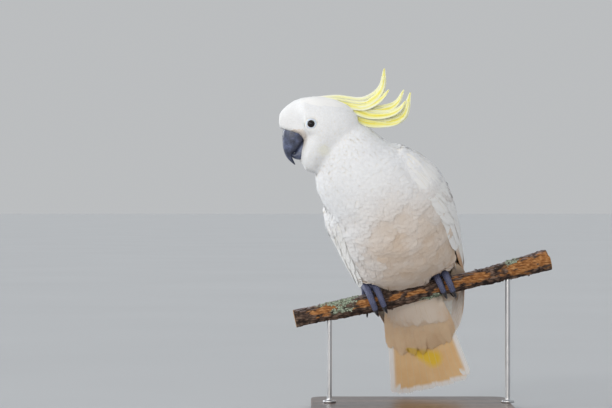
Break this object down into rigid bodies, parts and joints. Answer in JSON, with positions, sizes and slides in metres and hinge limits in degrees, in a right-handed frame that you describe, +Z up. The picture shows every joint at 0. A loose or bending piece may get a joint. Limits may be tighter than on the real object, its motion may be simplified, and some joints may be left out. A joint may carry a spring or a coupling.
{
  "type": "museum model of a parrot",
  "caption": "Life-size still model of a sulphur-crested cockatoo gripping a cut length of branch on a plain flat display stand.",
  "frame": {"origin": "centre of the stand base's underside", "axes": "+Z up; the bird's breast faces about -Y, its head is turned to its own right, -X; the perch runs along X, rising towards +X"},
  "size_m": [0.3276, 0.2, 0.4097],
  "materials": {
    "plumage": "matt white feathers",
    "yellow_plumes": "matt lemon-yellow feathers",
    "bill_horn": "dark slate horn, worn satin with a powdery bloom",
    "eye": "wet dark brown eye",
    "foot_skin": "scaly slate-grey skin",
    "claw_horn": "near-black horn",
    "bark": "flaking brown bark with bare patches and lichen",
    "stand_base": "dark stained wood, satin",
    "stand_rod": "brushed steel"
  },
  "bodies": {
    "root": {"head": "plumage", "neck": "plumage", "trunk": "plumage", "leg_left": "plumage", "leg_right": "plumage", "wing_left": "plumage", "wing_right": "plumage", "tail": "plumage", "crest": "yellow_plumes", "bill_upper": "bill_horn", "bill_lower": "bill_horn", "eye_left": "eye", "eye_right": "eye", "foot_left": "foot_skin", "foot_right": "foot_skin", "claw_left_front_outer": "claw_horn", "claw_left_front_inner": "claw_horn", "claw_left_back_outer": "claw_horn", "claw_left_back_inner": "claw_horn", "claw_right_front_outer": "claw_horn", "claw_right_front_inner": "claw_horn", "claw_right_back_outer": "claw_horn", "claw_right_back_inner": "claw_horn", "perch": "bark", "stand_base": "stand_base", "stand_rod_left": "stand_rod", "stand_rod_right": "stand_rod"}
  },
  "joints": []
}
